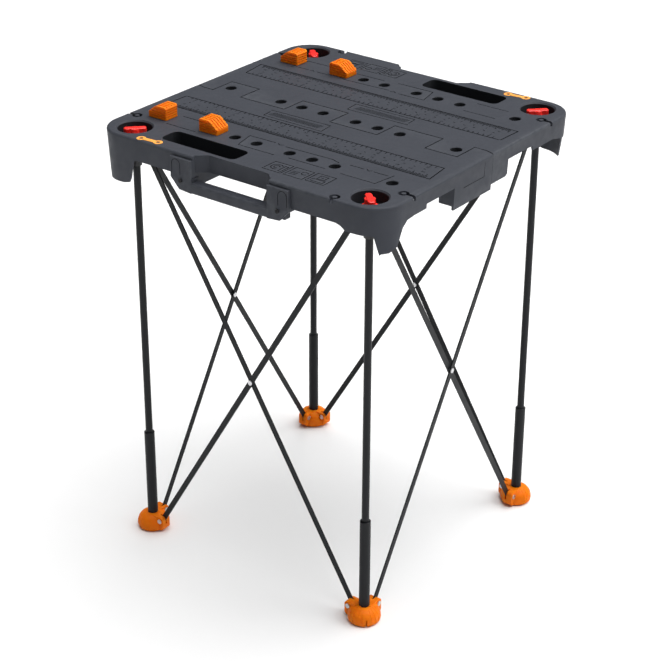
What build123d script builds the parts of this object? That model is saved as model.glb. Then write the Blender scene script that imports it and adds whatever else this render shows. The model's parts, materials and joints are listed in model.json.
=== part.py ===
from build123d import *
import math
import os

# Folding work table: two moulded top halves on a square frame of four telescoping
# posts, braced on each side by a pair of crossed flat bars that fold like scissors.
# Millimetres. Origin on the floor under the middle of the top, +Z up, X along the seam.

# ---- top ----
TOP_Z = 800.0            # height of the work surface
TOP_LENGTH = 604.0       # along the seam
TOP_WIDTH = 584.0        # across the seam, without the handles
CORNER_R = 55.0
DRAFT = 3.0              # degrees, taper of the skirt
EDGE_ROUND = 4.0
PLATE = 5.0
WALL = 4.0
SKIRT_LOW = 700.0        # lower than any skirt, where the cutters start
FOLD_Z = 730.0           # height of the fold axis
RIB = 3.0
RIB_LOW = 777.0

# ---- seam ----
TOOTH = 26.5             # how far each tooth reaches past the middle line
TOOTH_ENDS = (0.0, 99.5, 198.0, 261.5)
SEAM_GAP = 0.5
SEAM_SIDE_Y = 21.0       # where the seam meets the side of the top
SEAM_BEND_X = 284.0
SEAM_WALL_LOW = 773.0

# ---- dog holes ----
DOG_HOLE_R = 10.0
DOG_BOSS_R = 13.0
DOG_BOSS_LOW = 772.0
HOLE_X = (35.0, 81.5, 128.0, 242.0)
HOLE_ROW_Y = 181.0
HOLE_CHAMFER = 1.0

# ---- posts, cups and knobs ----
POST = 247.0             # post axis from the middle, both ways
CUP_R = 30.0
CUP_FLOOR = 778.0
CUP_FLOOR_THICK = 4.0
CUP_WALL = 3.0
CUP_CHAMFER = 2.5
BOLT_R = 4.0
BOLT_HOLE_R = 5.25

# ---- handle ----
HANDLE_HALF = 80.0       # half the grip's length
BOSS_END = 124.0
BOSS_FRONT = 297.0
BOSS_BACK = 264.0
RECESS_Y = 270.0
RECESS_LOW = 770.0
WELL_Y = -225.0          # how far back the walls beside the fingers reach
WELL_LOW = 745.0
GRIP_LOW = 735.5
GRIP_HIGH = 754.5
GRIP_BACK = 276.0
LUG_END = 114.0
LUG_HIGH = 762.0
SCREW_X = 102.0
SCREW_Z = 754.0

# ---- hand slot ----
SLOT_X = (-178.0, -17.0)
SLOT_Y = (-262.0, -218.0)
SLOT_FLOOR = 772.0
SLOT_R = 12.0
SLOT_WALL = 3.0

# ---- link and the sockets that it hooks into ----
LINK_PITCH = 35.0
LINK_R = 8.0
LINK_WAIST = 9.0
LINK_THICK = 4.5
LINK_EYE_R = 3.6
LINK_AT = (-184.5, -279.0)
LINK_TURN = 5.0
LINK_GAP = 0.5
HOOK_NEAR = 281.0
HOOK_FAR = 204.0
HOOK_R = 9.0
HOOK_POST_R = 4.0
HOOK_DEPTH = 8.0

# ---- hinge of the top ----
PIN_R = 2.5
KNUCKLE_R = 4.7
KNUCKLES = ((262.5, 270.5), (271.0, 279.0))   # tooth side, other side
PIN_RUNNING = 0.05

# ---- scissor frame ----
BAR_WIDE = 10.0
BAR_THICK = 2.5
BAR_PLANE = 1.75         # each bar's middle from the plane through the posts
RIVET_IN = 27.0          # rivet from the post axis, along the side
FOOT_RIVET_Z = 22.0
HUB_RIVET_Z = 754.5
RIVET_R = 2.5
RIVET_HEAD_R = 4.5
RIVET_HEAD = 1.6
SLOT_HALF = 1.65         # half the width of the slot that a bar end sits in

# ---- foot, sleeve and tube ----
FOOT_R = 29.5
SLEEVE_R = 9.5
SLEEVE_BORE_R = 6.9
SLEEVE_LOW = 6.0
SLEEVE_HIGH = 203.0
TUBE_R = 6.5
TUBE_BORE_R = 5.3
TUBE_LOW = 12.0
TUBE_HIGH = 746.0
CHEEK_OUT = 12.0         # cheek face outside the post plane
CHEEK_IN = 8.0
CHEEK_FAR = 34.0

# ---- hub under each cup ----
HUB_R = 19.0
HUB_HIGH = 773.5
HUB_LOW = 742.0
HUB_NECK_R = 9.5
HUB_NECK_LOW = 731.0

# ---- bench dog ----
DOG_PEG_R = 9.8
DOG_PEG_LOW = 774.0
DOG_LONG = 40.0
DOG_DEEP = 31.0
DOG_HIGH = 23.0


def block(x, y, z):
    """Box between the given limits."""
    size = [high - low for low, high in (x, y, z)]
    middle = [(high + low) / 2 for low, high in (x, y, z)]
    return Pos(*middle) * Box(*size)


def post_round(radius, low, high, x=0.0, y=0.0):
    """Upright cylinder between two heights."""
    return Pos(x, y, (low + high) / 2) * Cylinder(radius, high - low)


def side_prism(points, y):
    """Outline in X and Z, drawn out along Y."""
    face = Plane.XZ * Polygon(*points, align=None)
    return Pos(0, (y[0] + y[1]) / 2, 0) * extrude(face, amount=(y[1] - y[0]) / 2, both=True)


def end_prism(points, x):
    """Outline in Y and Z, drawn out along X."""
    face = Plane.YZ * Polygon(*points, align=None)
    return Pos((x[0] + x[1]) / 2, 0, 0) * extrude(face, amount=(x[1] - x[0]) / 2, both=True)


def under(edge):
    """Close a skirt's lower edge downwards, for cutting the wall away below it."""
    return [*edge, (edge[-1][0], SKIRT_LOW - 10), (edge[0][0], SKIRT_LOW - 10)]


# ---------------------------------------------------------------- top half
def whole_block(inset, top):
    """Rounded, tapered block of the whole top."""
    face = Pos(0, 0, top) * RectangleRounded(
        TOP_LENGTH - 2 * inset, TOP_WIDTH - 2 * inset, CORNER_R - inset
    )
    return extrude(face, amount=-(top - SKIRT_LOW), taper=DRAFT)


def half_outline(inset):
    """Plan of the half on the -Y side, bounded by the zigzag of interlocking teeth."""
    step = TOOTH
    seam = [(TOP_LENGTH, SEAM_SIDE_Y), (TOP_LENGTH / 2, SEAM_SIDE_Y), (SEAM_BEND_X, TOOTH)]
    for end in [*reversed(TOOTH_ENDS), *(-x for x in TOOTH_ENDS[1:])]:
        seam += [(end, step), (end, -step)]
        step = -step
    seam += [(-SEAM_BEND_X, -TOOTH), (-TOP_LENGTH / 2, -SEAM_SIDE_Y), (-TOP_LENGTH, -SEAM_SIDE_Y)]
    seam += [(-TOP_LENGTH, -TOP_WIDTH), (TOP_LENGTH, -TOP_WIDTH)]
    return offset(Polygon(*seam, align=None), amount=-inset, kind=Kind.INTERSECTION)


def skirt_cuts():
    """Everything below the lower edge of the skirt, side by side."""
    meet = 284.0
    far = TOP_LENGTH
    front = [
        (-meet, 745), (-278, 711), (-240, 713), (-228, 716), (-224, 724), (-215, 757),
        (-208, 761), (-BOSS_END, 761), (BOSS_END, 761), (213, 761), (222, 758),
        (231, 751.5), (278, 751.5), (meet, 718),
    ]
    right = [
        (-far, 718), (-258, 720), (-243, 727), (-236, 745), (-231, 756), (-220, 765),
        (-200, 767), (-168, 767), (-168, 775), (-89, 775), (-89, 735.5), (far, 735.5),
    ]
    left = [
        (-far, 745), (-277, 745), (-270, 757), (-247, 758), (-214, 766), (-150, 766),
        (-146, 775), (-70.5, 775), (-70.5, 749), (-66, 745), (far, 745),
    ]
    return [
        side_prism(under(front), (-TOP_WIDTH, -POST + 12)),
        end_prism(under(right), (meet, far)),
        end_prism(under(left), (-far, -meet)),
    ]


def tray():
    """Top plate with its skirt and the wall along the seam."""
    outer = whole_block(0, TOP_Z)
    outer = fillet(outer.faces().sort_by(Axis.Z)[-1].edges(), EDGE_ROUND)
    inner = whole_block(WALL, TOP_Z - PLATE)
    region = half_outline(SEAM_GAP / 2)
    half = extrude(region, amount=TOP_Z + 50)
    shell = (outer - inner) & half
    for cut in skirt_cuts():
        shell -= cut
    band = region - half_outline(SEAM_GAP / 2 + RIB)
    seam_wall = extrude(Pos(0, 0, SEAM_WALL_LOW) * band, amount=TOP_Z - PLATE - SEAM_WALL_LOW)
    return shell + (seam_wall & inner)


def ribs():
    """Ribs that stiffen the plate from below."""
    low, high = RIB_LOW, TOP_Z - PLATE
    long_ribs = [block((-298, 298), (y - RIB / 2, y + RIB / 2), (low, high)) for y in (-108, -152)]
    cross_ribs = [
        block((x - RIB / 2, x + RIB / 2), (-268, -30), (low, high)) for x in (-210, -105, -8, 58, 105, 210)
    ]
    return long_ribs + cross_ribs


def corner_places():
    return [(-POST, -POST), (POST, -POST)]


def hole_places():
    """Centres of the dog holes in the half on the -Y side."""
    outer = [(side * x, -HOLE_ROW_Y) for side in (-1, 1) for x in HOLE_X]
    middle = [(-HOLE_X[3], 0), (-HOLE_X[1], 0), (-HOLE_X[0], 0), (HOLE_X[2], 0)]
    return outer + middle


def link_outline(grow):
    """Plan of the link: two round eyes and a waist."""
    eyes = [Pos(side * LINK_PITCH / 2, 0) * Circle(LINK_R + grow) for side in (-1, 1)]
    waist = Rectangle(LINK_PITCH, LINK_WAIST + 2 * grow)
    shape = eyes[0] + eyes[1] + waist
    return Pos(LINK_AT[0], LINK_AT[1]) * Rot(0, 0, LINK_TURN) * shape


def link_eyes():
    turn = math.radians(LINK_TURN)
    reach = LINK_PITCH / 2
    return [
        (LINK_AT[0] + side * reach * math.cos(turn), LINK_AT[1] + side * reach * math.sin(turn))
        for side in (-1, 1)
    ]


def hook_sockets():
    """Ring-shaped sockets near the corners, each open towards its edge."""
    places = [(-HOOK_NEAR, -HOOK_FAR, 180), (HOOK_FAR, -HOOK_NEAR, 270), (HOOK_NEAR, -HOOK_FAR, 0)]
    cuts = []
    for x, y, angle in places:
        ring = Cylinder(HOOK_R, HOOK_DEPTH) - Cylinder(HOOK_POST_R, HOOK_DEPTH)
        mouth = Pos(HOOK_R + 4, 0, 0) * Box(2 * HOOK_R, 6.5, HOOK_DEPTH)
        mouth -= Cylinder(HOOK_POST_R, HOOK_DEPTH)
        cuts.append(Pos(x, y, TOP_Z - HOOK_DEPTH / 2) * Rot(0, 0, angle) * (ring + mouth))
    return cuts


def hook_backing():
    """Thicker plate below the ring-shaped sockets."""
    low, high = TOP_Z - HOOK_DEPTH - RIB, TOP_Z - PLATE
    pads = []
    for x, y in ((-HOOK_NEAR, -HOOK_FAR), (HOOK_FAR, -HOOK_NEAR), (HOOK_NEAR, -HOOK_FAR)):
        reach = HOOK_R + RIB
        pads.append(block((x - reach, x + reach), (y - reach, y + reach), (low, high)))
    return pads


def boss(side):
    """Hollow block beside the handle, which the grip's lug screws into."""
    outline = [
        (HANDLE_HALF, TOP_Z - 7), (BOSS_END, TOP_Z - 7), (BOSS_END, 757), (106, 738), (HANDLE_HALF, 736)
    ]
    solid = side_prism([(side * x, z) for x, z in outline], (-BOSS_FRONT, -BOSS_BACK))
    top_edge = side_prism(
        [(side * HANDLE_HALF, TOP_Z - 7), (side * BOSS_END, TOP_Z - 7),
         (side * BOSS_END, TOP_Z), (side * HANDLE_HALF, TOP_Z)],
        (-TOP_WIDTH / 2 + EDGE_ROUND, -BOSS_BACK),
    )
    return solid + top_edge


def recess(low, high, grow):
    """Space in front of the plate for the fingers, with slanting corners."""
    reach = HANDLE_HALF + grow
    back = -RECESS_Y + grow
    front = -TOP_WIDTH / 2 + 5 if grow else -TOP_WIDTH / 2 - 8
    plan = [(-reach, front), (reach, front), (reach, back - 15), (reach - 18, back),
            (-reach + 18, back), (-reach, back - 15)]
    return extrude(Pos(0, 0, low) * Polygon(*plan, align=None), amount=high - low)


def inner_walls():
    """Walls behind the bosses, beside the fingers' space, and behind the deep panel at the +X end."""
    beside = [
        block(sorted((side * HANDLE_HALF, side * (HANDLE_HALF + WALL))), (-RECESS_Y, WELL_Y),
              (WELL_LOW, TOP_Z - PLATE)) for side in (-1, 1)
    ]
    return beside + [block((270, 299), (-89, -89 + WALL), (742, TOP_Z - PLATE))]


def boss_cavity(side):
    x = sorted((side * (HANDLE_HALF + WALL), side * (BOSS_END - WALL)))
    return block(x, (-BOSS_FRONT + WALL, -BOSS_BACK + 1), (733, TOP_Z - 12))


def hinge_arms():
    """Arms from the plate to the knuckles on the fold axis, in both ends of the half."""
    tooth_side, other_side = KNUCKLES
    straight = [(-6, 797), (6, 797), (KNUCKLE_R, FOLD_Z), (-KNUCKLE_R, FOLD_Z)]
    arm = end_prism(straight, tooth_side)
    knuckle = Pos(tooth_side[0], 0, FOLD_Z) * Rot(0, 90, 0) * Cylinder(
        KNUCKLE_R, tooth_side[1] - tooth_side[0], align=(Align.CENTER, Align.CENTER, Align.MIN)
    )
    # On the other end the arm comes down behind the neighbour's tooth and under it.
    bent = [(-55, 797), (-31, 797), (-31, 776), (-27.5, 772), (2.0, 726.2), (-3.5, 725.9), (-8, 729)]
    far = (-other_side[1], -other_side[0])
    bent_arm = end_prism(bent, far)
    bent_knuckle = Pos(far[0], 0, FOLD_Z) * Rot(0, 90, 0) * Cylinder(
        KNUCKLE_R, far[1] - far[0], align=(Align.CENTER, Align.CENTER, Align.MIN)
    )
    return [arm, knuckle, bent_arm, bent_knuckle]


def deck_half():
    """One moulded half of the top, on the -Y side."""
    body = tray()
    body -= recess(SKIRT_LOW - 20, TOP_Z + 10, 0)
    inner = whole_block(WALL, TOP_Z - PLATE)
    for rib in ribs() + hook_backing():
        body += rib & inner
    body += recess(RECESS_LOW, TOP_Z - PLATE, WALL) - recess(RECESS_LOW - 1, TOP_Z, 0)
    for side in (-1, 1):
        body += boss(side)
        body -= boss_cavity(side)
        lug = sorted((side * (HANDLE_HALF - 1), side * (HANDLE_HALF + WALL + 1)))
        body -= block(lug, (-BOSS_FRONT + WALL, -GRIP_BACK - 2), (733, LUG_HIGH))
        screw = Pos(side * SCREW_X, -BOSS_FRONT, SCREW_Z) * Rot(90, 0, 0) * Cylinder(2.2, 20)
        body -= screw
    for part in hinge_arms() + inner_walls():
        body += part
    body += block((SLOT_X[0] - SLOT_WALL, SLOT_X[1] + SLOT_WALL),
                  (SLOT_Y[0] - SLOT_WALL, SLOT_Y[1] + SLOT_WALL), (SLOT_FLOOR - SLOT_WALL, TOP_Z - PLATE))
    for x, y in hole_places():
        body += post_round(DOG_BOSS_R, DOG_BOSS_LOW, TOP_Z - PLATE, x, y)
    for x, y in corner_places():
        body += post_round(CUP_R + CUP_WALL, CUP_FLOOR - CUP_FLOOR_THICK, TOP_Z - PLATE, x, y)
    body += extrude(Pos(0, 0, TOP_Z - PLATE - LINK_THICK) * link_outline(3), amount=LINK_THICK)
    for x, y in hole_places():
        body -= post_round(DOG_HOLE_R, DOG_BOSS_LOW - 5, TOP_Z + 1, x, y)
        body -= Pos(x, y, TOP_Z - HOLE_CHAMFER / 2) * Cone(
            DOG_HOLE_R, DOG_HOLE_R + HOLE_CHAMFER, HOLE_CHAMFER
        )
    for x, y in corner_places():
        body -= post_round(CUP_R, CUP_FLOOR, TOP_Z + 1, x, y)
        body -= post_round(BOLT_HOLE_R, CUP_FLOOR - 10, CUP_FLOOR + 1, x, y)
        body -= Pos(x, y, TOP_Z - CUP_CHAMFER / 2) * Cone(CUP_R, CUP_R + CUP_CHAMFER, CUP_CHAMFER)
    slot_plan = Pos(sum(SLOT_X) / 2, sum(SLOT_Y) / 2, SLOT_FLOOR) * RectangleRounded(
        SLOT_X[1] - SLOT_X[0], SLOT_Y[1] - SLOT_Y[0], SLOT_R
    )
    body -= extrude(slot_plan, amount=TOP_Z - SLOT_FLOOR + 1)
    body -= extrude(Pos(0, 0, TOP_Z - LINK_THICK) * link_outline(LINK_GAP), amount=LINK_THICK + 1)
    for x, y in link_eyes():
        body += post_round(LINK_EYE_R - 0.35, TOP_Z - LINK_THICK - 1, TOP_Z - 0.5, x, y)
    for cut in hook_sockets():
        body -= cut
    for x in (sum(KNUCKLES[0]) / 2, -sum(KNUCKLES[1]) / 2):
        bore = PIN_R if x > 0 else PIN_R + PIN_RUNNING
        body -= Pos(x, 0, FOLD_Z) * Rot(0, 90, 0) * Cylinder(bore, 20)
    return body


# ---------------------------------------------------------------- pieces on the top
def handle():
    """Grip bar with a lug at each end that goes into the boss."""
    bar = block((-HANDLE_HALF, HANDLE_HALF), (-BOSS_FRONT, -GRIP_BACK), (GRIP_LOW, GRIP_HIGH))
    bar = fillet(bar.edges().filter_by(Axis.X), 4.0)
    ridge_pitch = 8.0
    for step in range(-6, 7):
        bar -= Pos(step * ridge_pitch, 0, GRIP_LOW - 1.2) * Rot(90, 0, 0) * Cylinder(2.2, 700)
    for side in (-1, 1):
        x = sorted((side * (HANDLE_HALF - 1), side * LUG_END))
        bar += block(x, (-BOSS_FRONT + WALL, -GRIP_BACK - 3), (740, LUG_HIGH - 1))
        bar -= Pos(side * SCREW_X, -BOSS_FRONT, SCREW_Z) * Rot(90, 0, 0) * Cylinder(2.0, 36)
    return bar


def handle_screws():
    """The two screws that hold the grip."""
    screws = []
    for side in (-1, 1):
        shank = Cylinder(2.0, 16, align=(Align.CENTER, Align.CENTER, Align.MIN))
        head = Pos(0, 0, -2.4) * Cylinder(3.6, 2.4, align=(Align.CENTER, Align.CENTER, Align.MIN))
        drive = Pos(0, 0, -2.4) * Box(4.5, 0.9, 1.6) + Pos(0, 0, -2.4) * Box(0.9, 4.5, 1.6)
        screws.append(Pos(side * SCREW_X, -BOSS_FRONT, SCREW_Z) * Rot(-90, 0, 0) * (shank + head - drive))
    return Compound(children=screws)


def hinge_pin():
    """Steel pin through both knuckles at the +X end."""
    low, high = KNUCKLES[0][0] - 1.5, KNUCKLES[1][1] + 1.5
    pin = Pos(low, 0, FOLD_Z) * Rot(0, 90, 0) * Cylinder(
        PIN_R, high - low, align=(Align.CENTER, Align.CENTER, Align.MIN)
    )
    return pin


def lock_knob():
    """Winged quarter-turn knob, around the Z axis."""
    base = post_round(14.0, CUP_FLOOR + 0.3, CUP_FLOOR + 7)
    wing = RectangleRounded(39.0, 12.0, 5.0)
    wing = extrude(Pos(0, 0, CUP_FLOOR + 5) * wing, amount=TOP_Z - CUP_FLOOR - 6.5)
    wing = fillet(wing.faces().sort_by(Axis.Z)[-1].edges(), 2.0)
    crown = post_round(9.0, CUP_FLOOR + 5, TOP_Z - 3)
    knob = base + wing + crown
    return knob - post_round(BOLT_R, CUP_FLOOR - 5, CUP_FLOOR + 14)


def lock_bolt():
    """Bolt with a flat T head that catches under the top of the hub."""
    shank = post_round(BOLT_R, 753, CUP_FLOOR + 14)
    head = Pos(0, 0, 754.5) * Box(17, 7, 5)
    return shank + head


def link():
    """Flat dog-bone link that ties two tables edge to edge."""
    plate = extrude(Pos(0, 0, TOP_Z - LINK_THICK + 0.3) * link_outline(0), amount=LINK_THICK)
    for x, y in link_eyes():
        plate -= post_round(LINK_EYE_R, TOP_Z - 10, TOP_Z + 5, x, y)
    return plate


def bench_dog(slope):
    """Ridged wedge on a round peg. The head falls away towards slope (-1 or 1) times X."""
    low, high = TOP_Z + 0.3, TOP_Z + DOG_HIGH
    back = -slope * DOG_LONG / 2
    front = slope * DOG_LONG / 2
    outline = [(back, low), (front, low), (front, low + 9), (front - slope * 13, high - 3),
               (front - slope * 18, high), (back + slope * 3, high), (back, high - 3)]
    head = side_prism(outline, (-DOG_DEEP / 2, DOG_DEEP / 2))
    head = fillet(head.edges().filter_by(Axis.Z), 2.0)
    groove_pitch = DOG_DEEP / 5
    for step in (-1.5, -0.5, 0.5, 1.5):
        y = step * groove_pitch
        lift = [(front + slope * 2, low + 7), (front - slope * 14, high - 5), (front - slope * 19, high - 1.6),
                (back - slope * 2, high - 1.6), (back - slope * 2, high + 2), (front + slope * 2, high + 2)]
        head -= side_prism(lift, (y - 0.8, y + 0.8))
    return head + post_round(DOG_PEG_R, DOG_PEG_LOW, low + 1)


# ---------------------------------------------------------------- frame, at the -X -Y post
def turned(shape, along):
    """Along 0 puts a piece of the post on its +X side, 1 mirrors it to its +Y side."""
    if along == 1:
        shape = mirror(Rot(0, 0, 90) * shape, Plane.YZ)
    return Pos(-POST, -POST, 0) * shape


def fork(low, high, cheek_out, along):
    """Solid cheek that the slot for a bar end is cut into."""
    cheek = block((0, CHEEK_FAR), (-cheek_out, CHEEK_IN), (low, high))
    far_edges = [edge for edge in cheek.edges().filter_by(Axis.Y) if edge.center().X > 1]
    return turned(fillet(far_edges, 6.0), along)


def fork_slot(low, high, near, along, plane):
    """Slot for one bar end, open away from the post."""
    slot = block((near, CHEEK_FAR + 5), (plane - SLOT_HALF, plane + SLOT_HALF), (low, high))
    return turned(slot, along)


def fork_pin(z, radius, out, inward, along):
    """Round across a fork, from outside the side of the frame to inside it."""
    pin = Pos(RIVET_IN, (inward - out) / 2, z) * Rot(90, 0, 0) * Cylinder(radius, out + inward)
    return turned(pin, along)


def rivet(z, cheek_out, along):
    """Rivet with a head on both faces of a fork."""
    shape = fork_pin(z, RIVET_R, cheek_out, CHEEK_IN, along)
    shape += fork_pin(z, RIVET_HEAD_R, cheek_out + RIVET_HEAD, -cheek_out, along)
    shape += fork_pin(z, RIVET_HEAD_R, -CHEEK_IN, CHEEK_IN + RIVET_HEAD, along)
    return shape


def foot():
    """Round moulded foot with a collar for the sleeve and a fork on each inner side."""
    profile = [
        (0, 0), (FOOT_R - 4.5, 0), (FOOT_R - 1, 3), (FOOT_R, 7.5), (FOOT_R - 0.5, 13), (27, 19.5),
        (23, 25), (17.5, 28.5), (14, 29.5), (0, 29.5)
    ]
    body = Pos(-POST, -POST, 0) * revolve(Plane.XZ * Polygon(*profile, align=None), Axis.Z)
    for along in (0, 1):
        body += fork(3.0, 30.5, CHEEK_OUT, along)
    body -= post_round(SLEEVE_R, SLEEVE_LOW, 40, -POST, -POST)
    for along, plane in ((0, -BAR_PLANE), (1, BAR_PLANE)):
        body -= fork_slot(FOOT_RIVET_Z - 7.0, 60, 20.5, along, plane)
        body -= fork_pin(FOOT_RIVET_Z, RIVET_R, 30, 30, along)
        body -= fork_pin(FOOT_RIVET_Z, RIVET_HEAD_R + 0.6, CHEEK_OUT + 16, -CHEEK_OUT, along)
        body -= fork_pin(FOOT_RIVET_Z, RIVET_HEAD_R + 0.6, -CHEEK_IN, CHEEK_IN + 12, along)
    split = Pos(-POST, -POST, 0) * Rot(0, 0, 225) * Pos(FOOT_R - 1, 0, 6) * Box(12, 2.4, 18)
    return body - split


def hub():
    """Head of a post: seat for the cup, room for the bolt's T head, and two forks."""
    body = post_round(HUB_R, HUB_LOW, HUB_HIGH, -POST, -POST)
    body = fillet(body.edges().sort_by(Axis.Z)[:1], 2.0)
    for along in (0, 1):
        body += fork(HUB_LOW, HUB_HIGH - 7, CHEEK_IN, along)
    body += post_round(HUB_NECK_R, HUB_NECK_LOW, HUB_LOW + 1, -POST, -POST)
    body -= post_round(TUBE_R, HUB_NECK_LOW - 1, TUBE_HIGH, -POST, -POST)
    body -= post_round(10.0, TUBE_HIGH + 2, 760, -POST, -POST)
    body -= Pos(-POST, -POST, 765) * Rot(0, 0, -45) * Box(19, 9.5, 30)
    for along, plane in ((0, BAR_PLANE), (1, -BAR_PLANE)):
        body -= fork_slot(HUB_LOW - 20, HUB_RIVET_Z + 7.0, 20.5, along, plane)
        body -= fork_pin(HUB_RIVET_Z, RIVET_R, 30, 30, along)
    return body


def sleeve():
    """Lower, wider part of the post. The tube slides in it."""
    body = post_round(SLEEVE_R, SLEEVE_LOW, SLEEVE_HIGH, -POST, -POST)
    body = chamfer(body.edges().sort_by(Axis.Z)[-1:], 0.8)
    return body - post_round(SLEEVE_BORE_R, SLEEVE_LOW + 3, SLEEVE_HIGH + 1, -POST, -POST)


def tube():
    """Upper, thinner part of the post."""
    body = post_round(TUBE_R, TUBE_LOW, TUBE_HIGH, -POST, -POST)
    return body - post_round(TUBE_BORE_R, TUBE_LOW - 1, TUBE_HIGH + 1, -POST, -POST)


def bar(outer):
    """Flat brace in the -Y side: the outer one rises to +X, the inner one to -X."""
    half = POST - RIVET_IN
    rise = HUB_RIVET_Z - FOOT_RIVET_Z
    length = math.hypot(2 * half, rise)
    lean = math.degrees(math.atan2(2 * half, rise))
    flat = SlotCenterToCenter(length, BAR_WIDE)
    flat -= Pos(length / 2, 0) * Circle(RIVET_R + PIN_RUNNING)
    flat -= Pos(-length / 2, 0) * Circle(RIVET_R + PIN_RUNNING)
    flat -= Circle(RIVET_R if outer else RIVET_R + PIN_RUNNING)
    solid = extrude(flat, amount=BAR_THICK / 2, both=True)
    side = 1 if outer else -1
    standing = Rot(90, 0, 0) * Rot(0, 0, 90 - side * lean) * solid
    middle = (HUB_RIVET_Z + FOOT_RIVET_Z) / 2
    return Pos(0, -POST - side * BAR_PLANE, middle) * standing


def cross_rivet():
    """Rivet where two bars cross, with a washer between them. It is set in the outer bar."""
    middle = (HUB_RIVET_Z + FOOT_RIVET_Z) / 2
    face = BAR_PLANE + BAR_THICK / 2
    gap = BAR_PLANE - BAR_THICK / 2
    spans = [
        (RIVET_R, -face, face + 0.3), (RIVET_HEAD_R, -face - RIVET_HEAD, -face),
        (RIVET_HEAD_R, -gap, gap - 0.3), (RIVET_HEAD_R, face + 0.3, face + 0.3 + RIVET_HEAD),
    ]
    shape = None
    for radius, low, high in spans:
        piece = Pos(0, -POST + (low + high) / 2, middle) * Rot(90, 0, 0) * Cylinder(radius, high - low)
        shape = piece if shape is None else shape + piece
    return shape


# ---------------------------------------------------------------- write the pieces
def save(name, shape):
    shape.label = name
    export_step(shape, f"parts/{name}.step")


def main():
    os.makedirs("parts", exist_ok=True)
    half_turn = Rot(0, 0, 180)
    halves = {"deck": deck_half(), "handle": handle(), "handle_screws": handle_screws(), "link": link()}
    for name, shape in halves.items():
        save(f"{name}_a", shape)
        save(f"{name}_b", half_turn * shape)
    save("hinge_pin_1", hinge_pin())
    save("hinge_pin_2", half_turn * hinge_pin())

    dogs = [(-HOLE_X[3], -HOLE_ROW_Y, -1), (-HOLE_X[2], -HOLE_ROW_Y, 1),
            (-HOLE_X[3], HOLE_ROW_Y, -1), (-HOLE_X[2], HOLE_ROW_Y, 1)]
    for number, (x, y, slope) in enumerate(dogs, start=1):
        save(f"bench_dog_{number}", Pos(x, y, 0) * bench_dog(slope))

    post_pieces = {
        "foot": foot(), "leg_sleeve": sleeve(), "leg_tube": tube(), "leg_hub": hub(),
        "foot_rivets": Compound(children=[rivet(FOOT_RIVET_Z, CHEEK_OUT, along) for along in (0, 1)]),
        "hub_rivets": Compound(children=[rivet(HUB_RIVET_Z, CHEEK_IN, along) for along in (0, 1)]),
        "brace_outer": bar(True), "brace_inner": bar(False), "cross_rivet": cross_rivet(),
    }
    for number in range(1, 5):
        turn = Rot(0, 0, 90 * (number - 1))
        for name, shape in post_pieces.items():
            save(f"{name}_{number}", turn * shape)

    # Locked, the wings of every knob lie along the corner's own diagonal.
    for number in range(1, 5):
        place = Rot(0, 0, 90 * (number - 1)) * Pos(-POST, -POST, 0) * Rot(0, 0, 45)
        save(f"lock_knob_{number}", place * lock_knob())
        save(f"lock_bolt_{number}", place * lock_bolt())


main()
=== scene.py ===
import json
import math

import bmesh
import bpy
from mathutils import Matrix, Vector


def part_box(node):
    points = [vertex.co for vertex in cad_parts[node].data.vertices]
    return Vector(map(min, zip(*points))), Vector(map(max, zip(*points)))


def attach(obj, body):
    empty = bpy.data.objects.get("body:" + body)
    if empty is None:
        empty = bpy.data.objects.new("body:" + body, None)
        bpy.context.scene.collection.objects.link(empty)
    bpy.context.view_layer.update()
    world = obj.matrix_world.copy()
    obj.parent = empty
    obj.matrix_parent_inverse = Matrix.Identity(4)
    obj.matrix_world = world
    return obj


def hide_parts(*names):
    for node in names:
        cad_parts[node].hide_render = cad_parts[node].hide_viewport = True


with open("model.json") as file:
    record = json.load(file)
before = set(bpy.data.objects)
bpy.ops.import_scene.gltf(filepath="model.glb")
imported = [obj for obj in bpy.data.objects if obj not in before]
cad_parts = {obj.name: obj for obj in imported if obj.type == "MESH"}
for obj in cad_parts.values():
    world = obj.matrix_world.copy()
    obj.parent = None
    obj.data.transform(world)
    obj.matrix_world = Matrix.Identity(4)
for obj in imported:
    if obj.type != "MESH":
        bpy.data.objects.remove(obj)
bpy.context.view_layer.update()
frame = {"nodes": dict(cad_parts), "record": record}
bodies = frame["record"]["behaviour"]["bodies"]
body_of_node = {node: body for body, nodes in bodies.items() for node in nodes}
slot_of_node = {part["node"]: part["material_slot"] for part in frame["record"]["subparts"]}

MM = 0.001
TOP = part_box("deck_a")[1][2]                                     # height of the work surface
SIDE = (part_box("deck_a")[1][0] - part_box("deck_a")[0][0]) / 2     # half the top's length
POST = sum(corner[0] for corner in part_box("leg_tube_2")) / 2     # post axis from the middle, both ways


# ------------------------------------------------------------------ materials
def node_kit(name):
    material = bpy.data.materials.new(name)
    material.use_nodes = True
    nodes, links = material.node_tree.nodes, material.node_tree.links
    return material, nodes, links, nodes["Principled BSDF"]


def noise(nodes, links, coordinates, scale, detail):
    node = nodes.new("ShaderNodeTexNoise")
    node.inputs["Scale"].default_value = scale
    node.inputs["Detail"].default_value = detail
    links.new(coordinates, node.inputs["Vector"])
    return node.outputs["Fac"]


def spread(nodes, links, value, low, high, start=0.35, end=0.65):
    """Map a value that runs from start to end onto the range from low to high."""
    node = nodes.new("ShaderNodeMapRange")
    node.inputs["From Min"].default_value = start
    node.inputs["From Max"].default_value = end
    node.inputs["To Min"].default_value = low
    node.inputs["To Max"].default_value = high
    links.new(value, node.inputs["Value"])
    return node.outputs["Result"]


def two_colours(nodes, links, value, first, second):
    ramp = nodes.new("ShaderNodeValToRGB")
    ramp.color_ramp.elements[0].position = 0.3
    ramp.color_ramp.elements[0].color = (*first, 1)
    ramp.color_ramp.elements[1].position = 0.7
    ramp.color_ramp.elements[1].color = (*second, 1)
    links.new(value, ramp.inputs["Fac"])
    return ramp.outputs["Color"]


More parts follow.
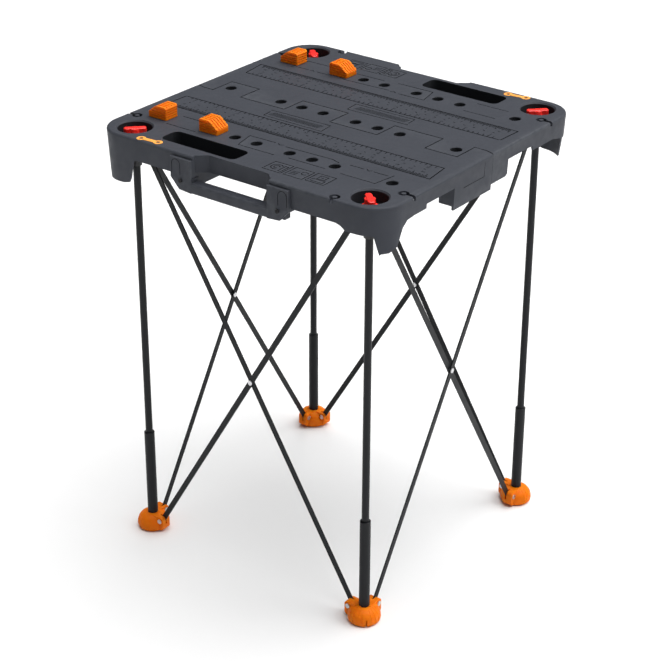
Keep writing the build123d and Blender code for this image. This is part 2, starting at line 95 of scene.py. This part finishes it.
def bump(nodes, links, shader, layers):
    """Stack bump layers, each (height socket, strength, distance in metres)."""
    normal = None
    for height, strength, distance in layers:
        node = nodes.new("ShaderNodeBump")
        node.inputs["Strength"].default_value = strength
        node.inputs["Distance"].default_value = distance
        links.new(height, node.inputs["Height"])
        if normal is not None:
            links.new(normal, node.inputs["Normal"])
        normal = node.outputs["Normal"]
    links.new(normal, shader.inputs["Normal"])


def worn_colour(nodes, links, colour, coordinates, worn, amount):
    """Rub the colour towards a paler one along sharp edges."""
    geometry = nodes.new("ShaderNodeNewGeometry")
    edge = spread(nodes, links, geometry.outputs["Pointiness"], 0.0, amount, 0.53, 0.62)
    patch = spread(nodes, links, noise(nodes, links, coordinates, 90, 2), 0.2, 1.0)
    both = nodes.new("ShaderNodeMath")
    both.operation = "MULTIPLY"
    links.new(edge, both.inputs[0])
    links.new(patch, both.inputs[1])
    mix = nodes.new("ShaderNodeMix")
    mix.data_type = "RGBA"
    links.new(both.outputs[0], mix.inputs["Factor"])
    links.new(colour, mix.inputs["A"])
    mix.inputs["B"].default_value = (*worn, 1)
    return mix.outputs["Result"]


def moulded(name, first, second, rough, grain, worn=None, gloss=0.5, milky=0.0):
    """Plastic with faint flow marks, a fine spark-eroded grain and scuffs. Light soaks into a milky one."""
    material, nodes, links, shader = node_kit(name)
    coordinates = nodes.new("ShaderNodeTexCoord").outputs["Object"]
    broad = noise(nodes, links, coordinates, 14, 4)
    fine = noise(nodes, links, coordinates, 1300, 2)
    scuff = noise(nodes, links, coordinates, 60, 6)
    colour = two_colours(nodes, links, broad, first, second)
    if worn:
        colour = worn_colour(nodes, links, colour, coordinates, worn, 0.5)
    links.new(colour, shader.inputs["Base Color"])
    links.new(spread(nodes, links, scuff, rough - 0.07, rough + 0.07), shader.inputs["Roughness"])
    bump(nodes, links, shader, [(fine, grain, 0.00012), (broad, 0.05, 0.0004)])
    shader.inputs["Specular IOR Level"].default_value = gloss
    shader.inputs["Subsurface Weight"].default_value = milky
    shader.inputs["Subsurface Radius"].default_value = (1.0, 0.35, 0.05)
    shader.inputs["Subsurface Scale"].default_value = 0.02
    return material


def powder_coat(name, first, second, rough):
    """Black powder coat: orange-peel surface with small glossy variation."""
    material, nodes, links, shader = node_kit(name)
    coordinates = nodes.new("ShaderNodeTexCoord").outputs["Object"]
    peel = noise(nodes, links, coordinates, 420, 2)
    broad = noise(nodes, links, coordinates, 25, 4)
    colour = two_colours(nodes, links, broad, first, second)
    links.new(colour, shader.inputs["Base Color"])
    links.new(spread(nodes, links, broad, rough - 0.06, rough + 0.08), shader.inputs["Roughness"])
    bump(nodes, links, shader, [(peel, 0.25, 0.00015)])
    shader.inputs["Specular IOR Level"].default_value = 0.2
    return material


def zinc(name):
    """Zinc-plated steel with a mottled shine."""
    material, nodes, links, shader = node_kit(name)
    coordinates = nodes.new("ShaderNodeTexCoord").outputs["Object"]
    broad = noise(nodes, links, coordinates, 120, 4)
    fine = noise(nodes, links, coordinates, 2200, 2)
    colour = two_colours(nodes, links, broad, (0.50, 0.50, 0.51), (0.72, 0.72, 0.73))
    links.new(colour, shader.inputs["Base Color"])
    links.new(spread(nodes, links, broad, 0.24, 0.42), shader.inputs["Roughness"])
    bump(nodes, links, shader, [(fine, 0.15, 0.0001)])
    shader.inputs["Metallic"].default_value = 0.9
    return material


materials = {
    "deck": moulded(
        "deck_plastic", (0.0405, 0.0440, 0.0540), (0.0442, 0.0478, 0.0585),
        rough=0.54, grain=0.45, worn=(0.075, 0.08, 0.09), gloss=0.15,
    ),
    "orange": moulded(
        "orange_plastic", (0.76, 0.160, 0.003), (0.82, 0.178, 0.004),
        rough=0.5, grain=0.25, gloss=0.1, milky=0.35,
    ),
    "link": moulded("link_plastic", (0.90, 0.36, 0.06), (0.96, 0.42, 0.085), rough=0.40, grain=0.2),
    "red": moulded("red_plastic", (0.80, 0.018, 0.014), (0.90, 0.030, 0.020), rough=0.30, grain=0.12),
    "leg_paint": powder_coat("leg_powder_coat", (0.008, 0.0088, 0.0105), (0.012, 0.013, 0.0155), rough=0.42),
    "brace_paint": powder_coat(
        "brace_powder_coat", (0.007, 0.0076, 0.009), (0.011, 0.012, 0.014), rough=0.45
    ),
    "hub_plastic": moulded(
        "hub_plastic", (0.014, 0.015, 0.017), (0.020, 0.021, 0.024), rough=0.50, grain=0.4
    ),
    "steel": zinc("zinc_steel"),
    "black_screw": powder_coat("black_screw", (0.012, 0.012, 0.014), (0.018, 0.018, 0.020), rough=0.40),
}
# Painted shade: a near-black plastic for every face cut into the top by the engraving, the seam and the side
# lines. It stands in for the shade down in the grooves.
painted_engraving_shade = moulded(
    "engraving_painted_shade", (0.005, 0.0055, 0.006), (0.008, 0.0086, 0.0095), rough=0.7, grain=0.3, gloss=0.1
)
# Painted shade: a darker orange for the faces of the bench dogs' grooves, standing in for the shade in them.
dog_painted_shade = moulded(
    "dog_groove_painted_shade", (0.74, 0.130, 0.003), (0.80, 0.145, 0.004), rough=0.55, grain=0.2, gloss=0.2
)
# Painted shade: a near-black plastic for the inside of the dog holes, the cups and the hand slot, where
# shade falls.
well_painted_shade = moulded(
    "wells_painted_shade", (0.016, 0.017, 0.020), (0.020, 0.022, 0.026), rough=0.65, grain=0.4, gloss=0.15
)

for name, node in frame["nodes"].items():
    node.data.materials.clear()
    node.data.materials.append(materials[slot_of_node[name]])


# ------------------------------------------------------------------ mesh helpers
def prism(bm, outline, low, high):
    """Upright prism of a plan outline."""
    bottom = [bm.verts.new((x, y, low)) for x, y in outline]
    top = [bm.verts.new((x, y, high)) for x, y in outline]
    count = len(outline)
    bm.faces.new(reversed(bottom))
    bm.faces.new(top)
    for i in range(count):
        j = (i + 1) % count
        bm.faces.new((bottom[i], bottom[j], top[j], top[i]))


def box(bm, x, y, z):
    """Box between the given limits."""
    prism(bm, [(x[0], y[0]), (x[1], y[0]), (x[1], y[1]), (x[0], y[1])], z[0], z[1])


def stroke(bm, start, end, wide, low, high):
    """Straight groove between two plan points."""
    a, b = Vector(start), Vector(end)
    along = (b - a).normalized()
    side = Vector((-along.y, along.x)) * wide / 2
    prism(bm, [a - side, b - side, b + side, a + side], low, high)


def band(bm, points, wide, low, high):
    """Groove along a bent path, mitred at its corners."""
    points = [Vector(p) for p in points]
    left, right = [], []
    for i, point in enumerate(points):
        before = (point - points[i - 1]).normalized() if i else None
        after = (points[i + 1] - point).normalized() if i + 1 < len(points) else None
        first, last = before or after, after or before
        normal = (Vector((-first.y, first.x)) + Vector((-last.y, last.x))).normalized()
        reach = wide / 2 / max(0.3, normal.dot(Vector((-first.y, first.x))))
        left.append(point + normal * reach)
        right.append(point - normal * reach)
    prism(bm, right + left[::-1], low, high)


def slab(bm, outline, low, high):
    """Outline in X and Z, drawn out along Y."""
    near = [bm.verts.new((x, low, z)) for x, z in outline]
    far = [bm.verts.new((x, high, z)) for x, z in outline]
    bm.faces.new(near)
    bm.faces.new(reversed(far))
    for i in range(len(outline)):
        j = (i + 1) % len(outline)
        bm.faces.new((near[j], near[i], far[i], far[j]))


def ring(bm, centre, radius, wide, low, high, steps, start, sweep):
    """Groove along an arc that starts at one angle and sweeps through another, as one closed band."""
    def arc(r):
        turns = [start + sweep * i / steps for i in range(steps + 1)]
        return [(centre[0] + r * math.cos(turn), centre[1] + r * math.sin(turn)) for turn in turns]
    prism(bm, arc(radius - wide / 2)[::-1] + arc(radius + wide / 2), low, high)


def finished(bm, name):
    bmesh.ops.recalc_face_normals(bm, faces=bm.faces)
    mesh = bpy.data.meshes.new(name)
    bm.to_mesh(mesh)
    bm.free()
    made = bpy.data.objects.new(name, mesh)
    bpy.context.collection.objects.link(made)
    return made


def apply_modifiers(target):
    bpy.context.view_layer.objects.active = target
    for modifier in list(target.modifiers):
        with bpy.context.temp_override(object=target, active_object=target):
            bpy.ops.object.modifier_apply(modifier=modifier.name)


# Where the wells are, in metres. Reaches are a little more than the wells' own radii, and depths
# run from below the eased rim to below the floor.
HOLE_X = (0.035, 0.0815, 0.128, 0.242)
HOLE_ROWS = (-0.181, 0.0, 0.181)
HOLE_REACH = 0.0103
HOLE_DEPTH = (0.0012, 0.1)
CUP_REACH = 0.0303
CUP_DEPTH = (0.003, 0.024)
SLOT_X = (-0.179, -0.016)
SLOT_Y = (-0.263, -0.217)
SLOT_DEPTH = (0.001, 0.0285)


def between(value, limits):
    return limits[0] < value < limits[1]


def shade_wells(mesh, turn):
    """Painted shade: a matte, darker plastic inside the dog holes, the cups and the hand slot. Turn is -1 on
    half b.
    """
    mesh.materials.append(well_painted_shade)
    index = len(mesh.materials) - 1
    holes = [(x * side, y) for x in HOLE_X for side in (-1, 1) for y in HOLE_ROWS]
    cups = [(x * POST, y * POST) for x in (-1, 1) for y in (-1, 1)]
    for face in mesh.polygons:
        x, y, z = face.center
        depth = TOP - z
        in_hole = between(depth, HOLE_DEPTH) and any(math.hypot(x - a, y - b) < HOLE_REACH for a, b in holes)
        in_cup = between(depth, CUP_DEPTH) and any(math.hypot(x - a, y - b) < CUP_REACH for a, b in cups)
        in_slot = between(depth, SLOT_DEPTH) and between(x * turn, SLOT_X) and between(y * turn, SLOT_Y)
        if in_hole or in_cup or in_slot:
            face.material_index = index


def dress(node, cutter=None, bevel=0.0, name=None):
    """Finished copy of a CAD piece: grooves cut in, edges eased. It stands for the piece."""
    copy = frame["nodes"][node].copy()
    copy.data = frame["nodes"][node].data.copy()
    copy.name = name or node + "_dressed"
    bpy.context.collection.objects.link(copy)
    bm = bmesh.new()
    bm.from_mesh(copy.data)
    bmesh.ops.remove_doubles(bm, verts=bm.verts, dist=2e-6)
    bmesh.ops.dissolve_limit(bm, angle_limit=math.radians(0.5), verts=bm.verts, edges=bm.edges)
    bm.to_mesh(copy.data)
    bm.free()
    if "custom_normal" in copy.data.attributes:
        copy.data.attributes.remove(copy.data.attributes["custom_normal"])
    if cutter is not None:
        for material in cutter.data.materials:
            copy.data.materials.append(material)
        cut = copy.modifiers.new("cut", "BOOLEAN")
        cut.operation = "DIFFERENCE"
        cut.solver = "MANIFOLD"
        cut.object = cutter
    if bevel:
        ease = copy.modifiers.new("ease", "BEVEL")
        ease.width = bevel
        ease.segments = 2
        ease.limit_method = "ANGLE"
        ease.angle_limit = math.radians(40)
        ease.use_clamp_overlap = True
    apply_modifiers(copy)
    for face in copy.data.polygons:
        face.use_smooth = True
    if node.startswith("deck"):
        shade_wells(copy.data, 1 if node.endswith("a") else -1)
    copy.data.set_sharp_from_angle(angle=math.radians(32))
    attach(copy, body_of_node[node])
    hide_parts(node)
    if cutter is not None:
        bpy.data.objects.remove(cutter)


# ------------------------------------------------------------------ engraving of the top
LINE = 2.1 * MM                        # width of the rulers' outlines
FINE = 1.65 * MM                       # width of every other line
DEPTH = 1.3 * MM
LOW, HIGH = TOP - DEPTH, TOP + 2 * MM  # span of the cutters
INCH = 25.4 * MM
RULER = (-132 * MM, -80 * MM)          # outer and inner edge
RULER_END = 277 * MM
TICK_GAP = 1.5 * MM                    # between a ruler's edge and its ticks


def inch_tick(eighths):
    """Height of a tick: longest on whole inches, then halves, quarters and eighths."""
    if eighths % 8 == 0:
        return 12.5 * MM
    if eighths % 4 == 0:
        return 10 * MM
    return (6 if eighths % 2 else 8) * MM


def ruler(bm):
    """Two graduated edges: inches with eighths on the outer one, centimetres on the inner one."""
    outer, inner = RULER
    corners = [
        (-RULER_END, inner), (-RULER_END - 2 * MM, outer), (RULER_END + 3 * MM, outer),
        (RULER_END - 4 * MM, inner), (-RULER_END + 2 * MM, inner),
    ]
    band(bm, corners, LINE, LOW, HIGH)
    count = int(2 * (RULER_END - 8 * MM) / (INCH / 8))
    first = -(count // 2) * INCH / 8
    for i in range(count + 1):
        x, start = first + i * INCH / 8, outer + TICK_GAP
        stroke(bm, (x, start), (x, start + inch_tick(i)), FINE, LOW, HIGH)
    for i in range(-26, 27):
        x, end = i * 10 * MM, inner - TICK_GAP
        tall = (5.5 if i % 5 else 7) * MM
        stroke(bm, (x, end - tall), (x, end), FINE, LOW, HIGH)
        if i % 2:
            y = (outer + inner) / 2 + 4 * MM
            stroke(bm, (x - 2 * MM, y), (x + 2 * MM, y), FINE, LOW, HIGH)


def digits(bm, text, x, y, size):
    """Plain numerals, cut like the lines."""
    curve = bpy.data.curves.new("digits", "FONT")
    curve.body = text
    curve.size = size
    curve.align_x = "CENTER"
    curve.align_y = "CENTER"
    curve.extrude = (HIGH - LOW) / 2
    curve.resolution_u = 2
    holder = bpy.data.objects.new("digits", curve)
    bpy.context.collection.objects.link(holder)
    bpy.context.view_layer.update()
    mesh = bpy.data.meshes.new_from_object(holder.evaluated_get(bpy.context.evaluated_depsgraph_get()))
    mesh.transform(Matrix.Translation((x, y, (HIGH + LOW) / 2)))
    part = bmesh.new()
    part.from_mesh(mesh)
    bmesh.ops.remove_doubles(part, verts=part.verts, dist=1e-6)
    part.to_mesh(mesh)
    part.free()
    bm.from_mesh(mesh)
    bpy.data.objects.remove(holder)


def numbers(bm):
    """Plain numerals along both scales. The inch scale has none at its middle."""
    for i in range(-10, 11):
        if i:
            digits(bm, str(10 + i), i * INCH + 0.2 * MM, RULER[0] + 19 * MM, 7.5 * MM)
    for i in range(-5, 6):
        digits(bm, str((i + 5) * 5 + 5), i * 50 * MM, RULER[1] - 13 * MM, 6.5 * MM)


def panels(bm):
    """Outlined fields round the holes, and a field hatched with plain strokes beside the seam."""
    def path(points):
        band(bm, [Vector(p) * MM for p in points], FINE, LOW, HIGH)
    path([(20, -203), (-56, -203), (-66, -160), (-11, -159)])
    path([(12, -163), (108, -160), (126, -166)])
    path([(47, -199), (123, -199)])
    path([(145, -162), (173, -162)])
    path([(192, -162), (221, -162)])
    path([(154, -200), (222, -200), (228, -155)])
    path([(-215, -203), (-150, -203)])
    path([(-215, -160), (-150, -160)])
    path([(-112, -45), (-113, -43), (13, -41), (16, -71), (-109, -71), (-111, -50)])
    for i in range(25):
        x = -104 + 4.3 * i
        stroke(bm, (x * MM, -64 * MM), ((x + 5) * MM, -49 * MM), FINE, LOW, HIGH)
    path([(178, -160), (183, -164), (188, -160)])
    path([(-6, -159), (0, -163), (6, -159)])


def pictures(bm):
    """Three outlined boxes with plain pictures: a clamp, a board with a circle, a lock."""
    def outlined(x0, y0, x1, y1):
        corners = [(x0, y0 + 2), (x0, y0), (x1, y0), (x1, y1), (x0, y1), (x0, y0 + 4)]
        band(bm, [Vector(c) * MM for c in corners], FINE, LOW, HIGH)
    outlined(40, -258, 77, -223)
    outlined(83, -258, 120, -223)
    outlined(126, -256, 162, -221)
    ring(bm, (56 * MM, -240 * MM), 10 * MM, FINE, LOW, HIGH, 20, 0.6, 4.6)
    ring(bm, (56 * MM, -240 * MM), 5 * MM, FINE, LOW, HIGH, 14, 0.3, 5.2)
    outlined(67, -252, 73, -231)
    for y in (-250, -244.5, -239):
        stroke(bm, (87 * MM, y * MM), (101 * MM, (y + 2) * MM), FINE, LOW, HIGH)
    ring(bm, (110 * MM, -236 * MM), 5.5 * MM, FINE, LOW, HIGH, 14, 0.2, 5.6)
    outlined(132, -251, 156, -243)
    outlined(137, -240, 151, -227)
    stroke(bm, (141 * MM, -234 * MM), (147 * MM, -234 * MM), FINE, LOW, HIGH)


def arch(bm, middle, foot, spring, radius, steps=12):
    """Round-topped outline on the front of one of the handle's bosses."""
    def rim(r):
        turns = [math.pi * i / steps for i in range(steps + 1)]
        round_top = [(middle + r * math.cos(turn), spring + r * math.sin(turn)) for turn in turns]
        return [(middle + r, foot), *round_top, (middle - r, foot)]
    slab(bm, rim(radius + LINE / 4) + rim(radius - LINE / 4)[::-1], -300 * MM, -296.4 * MM)


def side_lines(bm):
    """Parting groove on the deep panel at the +X end, and outlines on the handle's bosses."""
    edge = SIDE + 1 * MM
    deep = edge - 6 * MM
    for side in (-1, 1):
        arch(bm, side * 112 * MM, 764 * MM, 781 * MM, 9 * MM)
    for y0, y1, z0, z1 in ((-3, -2, 766, 792), (-63, -4, 766.5, 767.5)):
        box(bm, (deep, edge), (y0 * MM, y1 * MM), (z0 * MM, z1 * MM))


def seam(bm):
    """Eased edges along the zigzag between the halves."""
    tooth = 26.5
    step = tooth
    points = [(SIDE / MM + 2, 20.5), (284, tooth)]
    for end in (261.5, 198, 99.5, 0, -99.5, -198, -261.5):
        points += [(end, step), (end, -step)]
        step = -step
    points += [(-284, -tooth), (-SIDE / MM - 2, -20.5)]
    band(bm, [Vector(p) * MM for p in points], 2.0 * MM, TOP - 1.1 * MM, HIGH)


def engraving(half):
    """Cutter with all the grooves of one half. Half b's is turned by half a turn."""
    bm = bmesh.new()
    ruler(bm)
    numbers(bm)
    panels(bm)
    pictures(bm)
    seam(bm)
    side_lines(bm)
    if half == "b":
        bmesh.ops.rotate(bm, verts=bm.verts, cent=(0, 0, 0), matrix=Matrix.Rotation(math.pi, 3, "Z"))
    cutter = finished(bm, "engraving_" + half)
    # Every face this cutter leaves takes the painted shade.
    cutter.data.materials.append(painted_engraving_shade)
    return cutter


for half in "ab":
    dress("deck_" + half, engraving(half), name="top_half_" + half)


# ------------------------------------------------------------------ feet, dogs, knobs
def fin(bm, centre, angle, outline, half_wide):
    """Thin upright plate on a radius, from an outline in radius and height."""
    along = Vector((math.cos(angle), math.sin(angle), 0))
    side = Vector((-along.y, along.x, 0)) * half_wide
    near, far = [
        [bm.verts.new(Vector((*centre, z * MM)) + along * r * MM + side * sign) for r, z in outline]
        for sign in (-1, 1)
    ]
    bm.faces.new(near)
    bm.faces.new(reversed(far))
    for i in range(len(outline)):
        j = (i + 1) % len(outline)
        bm.faces.new((near[j], near[i], far[i], far[j]))


def foot_grooves(corner):
    """Grooves that fan down the dome on the outward side."""
    outward = math.atan2(corner[1], corner[0])
    floor_of_groove = [(16.0, 28.2), (22.3, 24.2), (26.2, 18.9), (28.1, 12.8), (28.6, 7.5), (28.0, 4.0)]
    outline = [*floor_of_groove, (40, 4.0), (40, 31), (16.0, 31)]
    bm = bmesh.new()
    for step in (-4, -3, -2, -1, 1, 2, 3, 4):
        fin(bm, corner, outward + math.radians(17 * step), outline, 0.45 * MM)
    cutter = finished(bm, "foot_grooves")
    cutter.data.materials.append(materials["orange"])
    return cutter


def dog_grooves(node, slope):
    """Grooves up the slope of a bench dog's head, and level ones round its sides and tall end."""
    low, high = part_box(node)
    base = TOP + 0.3 * MM
    reach, bite = 2 * MM, 1.0 * MM
    pitch, half_high = 4.3 * MM, 0.7 * MM
    front, back = (high[0], low[0]) if slope > 0 else (low[0], high[0])
    tall_end = sorted((back - slope * reach, back + slope * bite))
    bm = bmesh.new()
    for step in range(1, 5):
        z = base + step * pitch
        level = (z - half_high, z + half_high)
        for y in ((low[1] - reach, low[1] + bite), (high[1] - bite, high[1] + reach)):
            box(bm, (low[0] - reach, high[0] + reach), y, level)
        box(bm, tall_end, (low[1] + 1.4 * MM, high[1] - 1.4 * MM), level)
    foot, top = front + slope * 2 * MM, back + slope * 3 * MM
    ridge = [
        (foot, base + 6.4 * MM), (front - slope * 14.2 * MM, high[2] - 5.6 * MM),
        (front - slope * 19 * MM, high[2] - 2.0 * MM), (top, high[2] - 2.0 * MM),
        (top, high[2] + 3 * MM), (foot, high[2] + 3 * MM),
    ]
    for step in (-1.5, -0.5, 0.5, 1.5):
        y = (low[1] + high[1]) / 2 + step * 6.2 * MM
        slab(bm, ridge, y - 1.1 * MM, y + 1.1 * MM)
    cutter = finished(bm, "dog_grooves")
    # The groove faces take the painted shade.
    cutter.data.materials.append(dog_painted_shade)
    return cutter


corners = [(-POST, -POST), (POST, -POST), (POST, POST), (-POST, POST)]
for number, corner in enumerate(corners, start=1):
    dress(f"foot_{number}", foot_grooves(corner), bevel=0.35 * MM)
    dog = f"bench_dog_{number}"
    dress(dog, dog_grooves(dog, slope=-1 if number % 2 else 1), bevel=0.25 * MM)
    dress(f"lock_knob_{number}", bevel=0.5 * MM)


# ------------------------------------------------------------------ floor, light, camera
FLOOR_HALF = 60


def pale_floor():
    """Wide pale floor, just under the feet."""
    bm = bmesh.new()
    box(bm, (-FLOOR_HALF, FLOOR_HALF), (-FLOOR_HALF, FLOOR_HALF), (-20 * MM, -0.5 * MM))
    floor = finished(bm, "floor")
    paint, _, _, shader = node_kit("floor_paint")
    shader.inputs["Base Color"].default_value = (0.82, 0.82, 0.82, 1)
    shader.inputs["Roughness"].default_value = 0.8
    floor.data.materials.append(paint)


def white_surroundings():
    """White round the horizon, fading to a dim sky above it."""
    world = bpy.data.worlds.new("studio")
    bpy.context.scene.world = world
    world.use_nodes = True
    nodes, links = world.node_tree.nodes, world.node_tree.links
    height = nodes.new("ShaderNodeSeparateXYZ")
    links.new(nodes.new("ShaderNodeTexCoord").outputs["Generated"], height.inputs[0])
    strength = spread(nodes, links, height.outputs["Z"], 1.02, 0.10, start=0.02, end=0.08)
    links.new(strength, nodes["Background"].inputs["Strength"])
    nodes["Background"].inputs["Color"].default_value = (1, 1, 1, 1)


def place_light(name, light, direction, place=(0, 0, 0)):
    holder = bpy.data.objects.new(name, light)
    holder.location = place
    holder.rotation_euler = Vector(direction).to_track_quat("-Z", "Y").to_euler()
    bpy.context.collection.objects.link(holder)


def soft_overhead():
    """Very broad light from above, a little from behind and from the right."""
    sun = bpy.data.lights.new("sky", "SUN")
    sun.energy = 4.9
    sun.angle = math.radians(74)
    place_light("sky", sun, (-0.18, -0.28, -1))


def soft_right():
    """Square soft light on the +X side."""
    place, target = Vector((2.6, 1.0, 2.0)), Vector((0, 0, 0.6))
    lamp = bpy.data.lights.new("right", "AREA")
    lamp.shape = "SQUARE"
    lamp.size = 1.2
    lamp.energy = 12
    place_light("right", lamp, target - place, place)


def aim_camera():
    """Camera nearly two metres up, looking down at the table from its -Y side and its +X end."""
    yaw, pitch, roll = (math.radians(a) for a in (-37.0007, 27.3152, 0.3139))
    forward = Vector((math.sin(yaw) * math.cos(pitch), math.cos(yaw) * math.cos(pitch), -math.sin(pitch)))
    level = Vector((math.cos(yaw), -math.sin(yaw), 0))
    upright = level.cross(forward)
    right = math.cos(roll) * level + math.sin(roll) * upright
    up = math.cos(roll) * upright - math.sin(roll) * level
    camera = bpy.data.objects.new("camera", bpy.data.cameras.new("camera"))
    bpy.context.collection.objects.link(camera)
    turn = Matrix((right, up, -forward)).transposed().to_4x4()
    camera.matrix_world = Matrix.Translation((1.8202, -2.42055, 1.9413)) @ turn
    camera.data.sensor_width = 36
    camera.data.lens = 100.2107
    camera.data.clip_end = 50
    bpy.context.scene.camera = camera


pale_floor()
white_surroundings()
soft_overhead()
soft_right()
aim_camera()
bpy.context.scene.view_settings.view_transform = "Standard"
